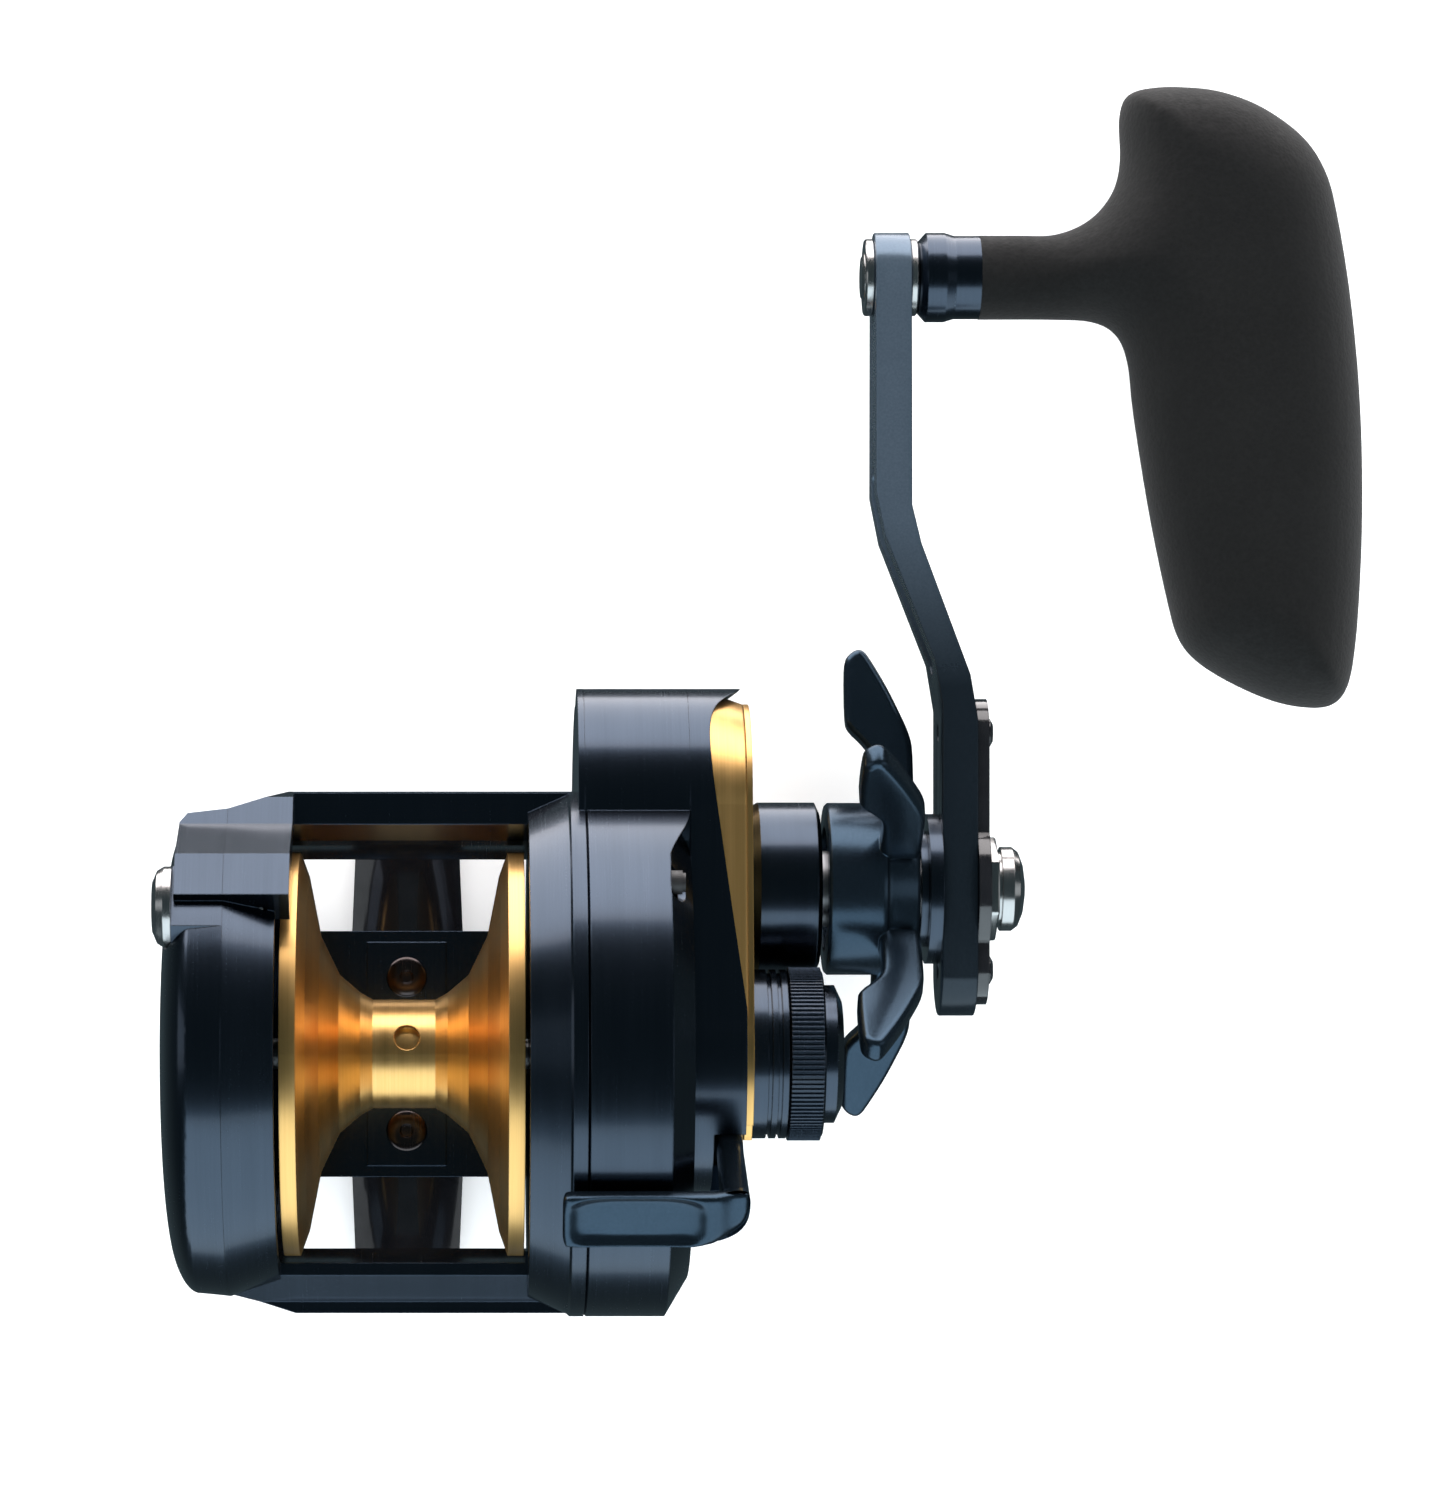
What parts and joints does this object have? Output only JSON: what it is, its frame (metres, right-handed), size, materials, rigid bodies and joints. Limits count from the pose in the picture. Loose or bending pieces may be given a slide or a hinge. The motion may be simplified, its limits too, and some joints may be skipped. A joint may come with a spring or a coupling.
{
  "type": "baitcasting fishing reel",
  "caption": "Star-drag casting reel with a gold spool between blue side plates, a curved rod foot, a thumb clutch lever and a cranked power handle with a T grip.",
  "frame": {"origin": "on the axis of the rod seat, at the middle of the foot's length", "axes": "+Y along the rod seat toward the rod tip, +X along the spool axis toward the handle, +Z away from the rod"},
  "size_m": [0.1566, 0.1604, 0.076],
  "materials": {
    "navy": "satin",
    "black_plate": "gloss",
    "gold": "satin",
    "steel": "polished",
    "steel_dull": "satin",
    "brass": "satin",
    "carbon": "matte",
    "plastic": "matte",
    "foam": "matte"
  },
  "bodies": {
    "housing": {"brake_ring": "steel_dull", "case_button": "plastic", "cast_control_boss": "navy", "cast_control_shim": "brass", "cover_screws": "steel_dull", "drive_collar": "navy", "drive_shaft_bearing": "steel_dull", "foot_screws": "steel", "gear_case": "navy", "guide_pins": "steel_dull", "left_side_cover": "navy", "left_spool_bearing": "steel_dull", "main_frame": "navy", "one_way_clutch": "steel_dull", "pawl_pin": "steel_dull", "pinion_bearing": "steel_dull", "reel_foot": "black_plate", "right_spool_bearing": "steel_dull", "side_cover": "navy", "side_cover_screw": "steel", "trim_crescent": "gold", "trim_plate": "gold", "yoke_springs": "steel_dull"},
    "spool_group": {"spool": "gold", "spool_shaft": "steel_dull", "brake_hub": "plastic", "brake_weights": "plastic"},
    "crank": {"drive_shaft": "steel_dull", "ratchet_wheel": "steel_dull", "drive_gear": "brass", "drag_washers": "carbon", "drag_discs": "steel_dull", "pressure_plate": "steel_dull", "drag_springs": "steel_dull", "clutch_sleeve": "steel_dull", "star_click_ring": "navy", "handle_spacer": "navy", "handle_arm": "navy", "handle_nut": "steel", "nut_retainer": "black_plate", "retainer_screws": "black_plate", "handle_cap": "steel", "knob_post": "steel_dull", "knob_rivet": "steel", "knob_washer_inner": "steel", "knob_washer_outer": "steel"},
    "knob": {"knob_sleeve": "navy", "knob_bushings": "brass", "t_grip": "foam"},
    "star": {"star_wheel": "navy"},
    "star_nut_body": {"star_nut": "brass"},
    "yoke": {"clutch_yoke": "plastic"},
    "pinion": {"pinion_gear": "brass"},
    "lever": {"clutch_lever": "navy", "clutch_cam": "steel_dull"},
    "pawl": {"anti_reverse_pawl": "steel_dull"},
    "cast_control": {"cast_control_knob": "navy", "cast_control_cap": "navy"}
  },
  "joints": [
    {"name": "handle_turn", "type": "hinge", "parent": "housing", "child": "crank", "pos_m": [0, 0.0216, 0.035], "axis": [1, 0, 0], "continuous": true},
    {"name": "spool_spin", "type": "hinge", "parent": "housing", "child": "spool_group", "pos_m": [0, 0, 0.045], "axis": [1, 0, 0], "continuous": true},
    {"name": "clutch_lever_press", "type": "hinge", "parent": "housing", "child": "lever", "pos_m": [0, 0, 0.045], "axis": [1, 0, 0], "range_deg": [0, 20]},
    {"name": "yoke_slide", "type": "slide", "parent": "housing", "child": "yoke", "axis": [1, 0, 0], "range_m": [0, 0.0016]},
    {"name": "pinion_spin", "type": "hinge", "parent": "yoke", "child": "pinion", "pos_m": [0, 0, 0.045], "axis": [1, 0, 0], "continuous": true},
    {"name": "star_turn", "type": "hinge", "parent": "crank", "child": "star", "pos_m": [0, 0.0216, 0.035], "axis": [1, 0, 0], "range_deg": [-180, 360]},
    {"name": "star_nut_travel", "type": "slide", "parent": "star", "child": "star_nut_body", "axis": [1, 0, 0], "range_m": [-0.00038, 0.00075]},
    {"name": "knob_spin", "type": "hinge", "parent": "crank", "child": "knob", "pos_m": [0, 0.1016, 0.035], "axis": [1, 0, 0], "continuous": true},
    {"name": "cast_control_turn", "type": "hinge", "parent": "housing", "child": "cast_control", "pos_m": [0, 0, 0.045], "axis": [1, 0, 0], "range_deg": [-360, 360]},
    {"name": "pawl_lift", "type": "hinge", "parent": "housing", "child": "pawl", "pos_m": [0, 0.01906, 0.04938], "axis": [1, 0, 0], "range_deg": [-10, 0]}
  ],
  "couplings": [
    {"joint": "spool_spin", "follows": "handle_turn", "ratio": -5},
    {"joint": "pinion_spin", "follows": "handle_turn", "ratio": -5},
    {"joint": "yoke_slide", "follows": "clutch_lever_press", "m_per_rad": 0.0045837},
    {"joint": "star_nut_travel", "follows": "star_turn", "m_per_rad": 0.00011937}
  ]
}
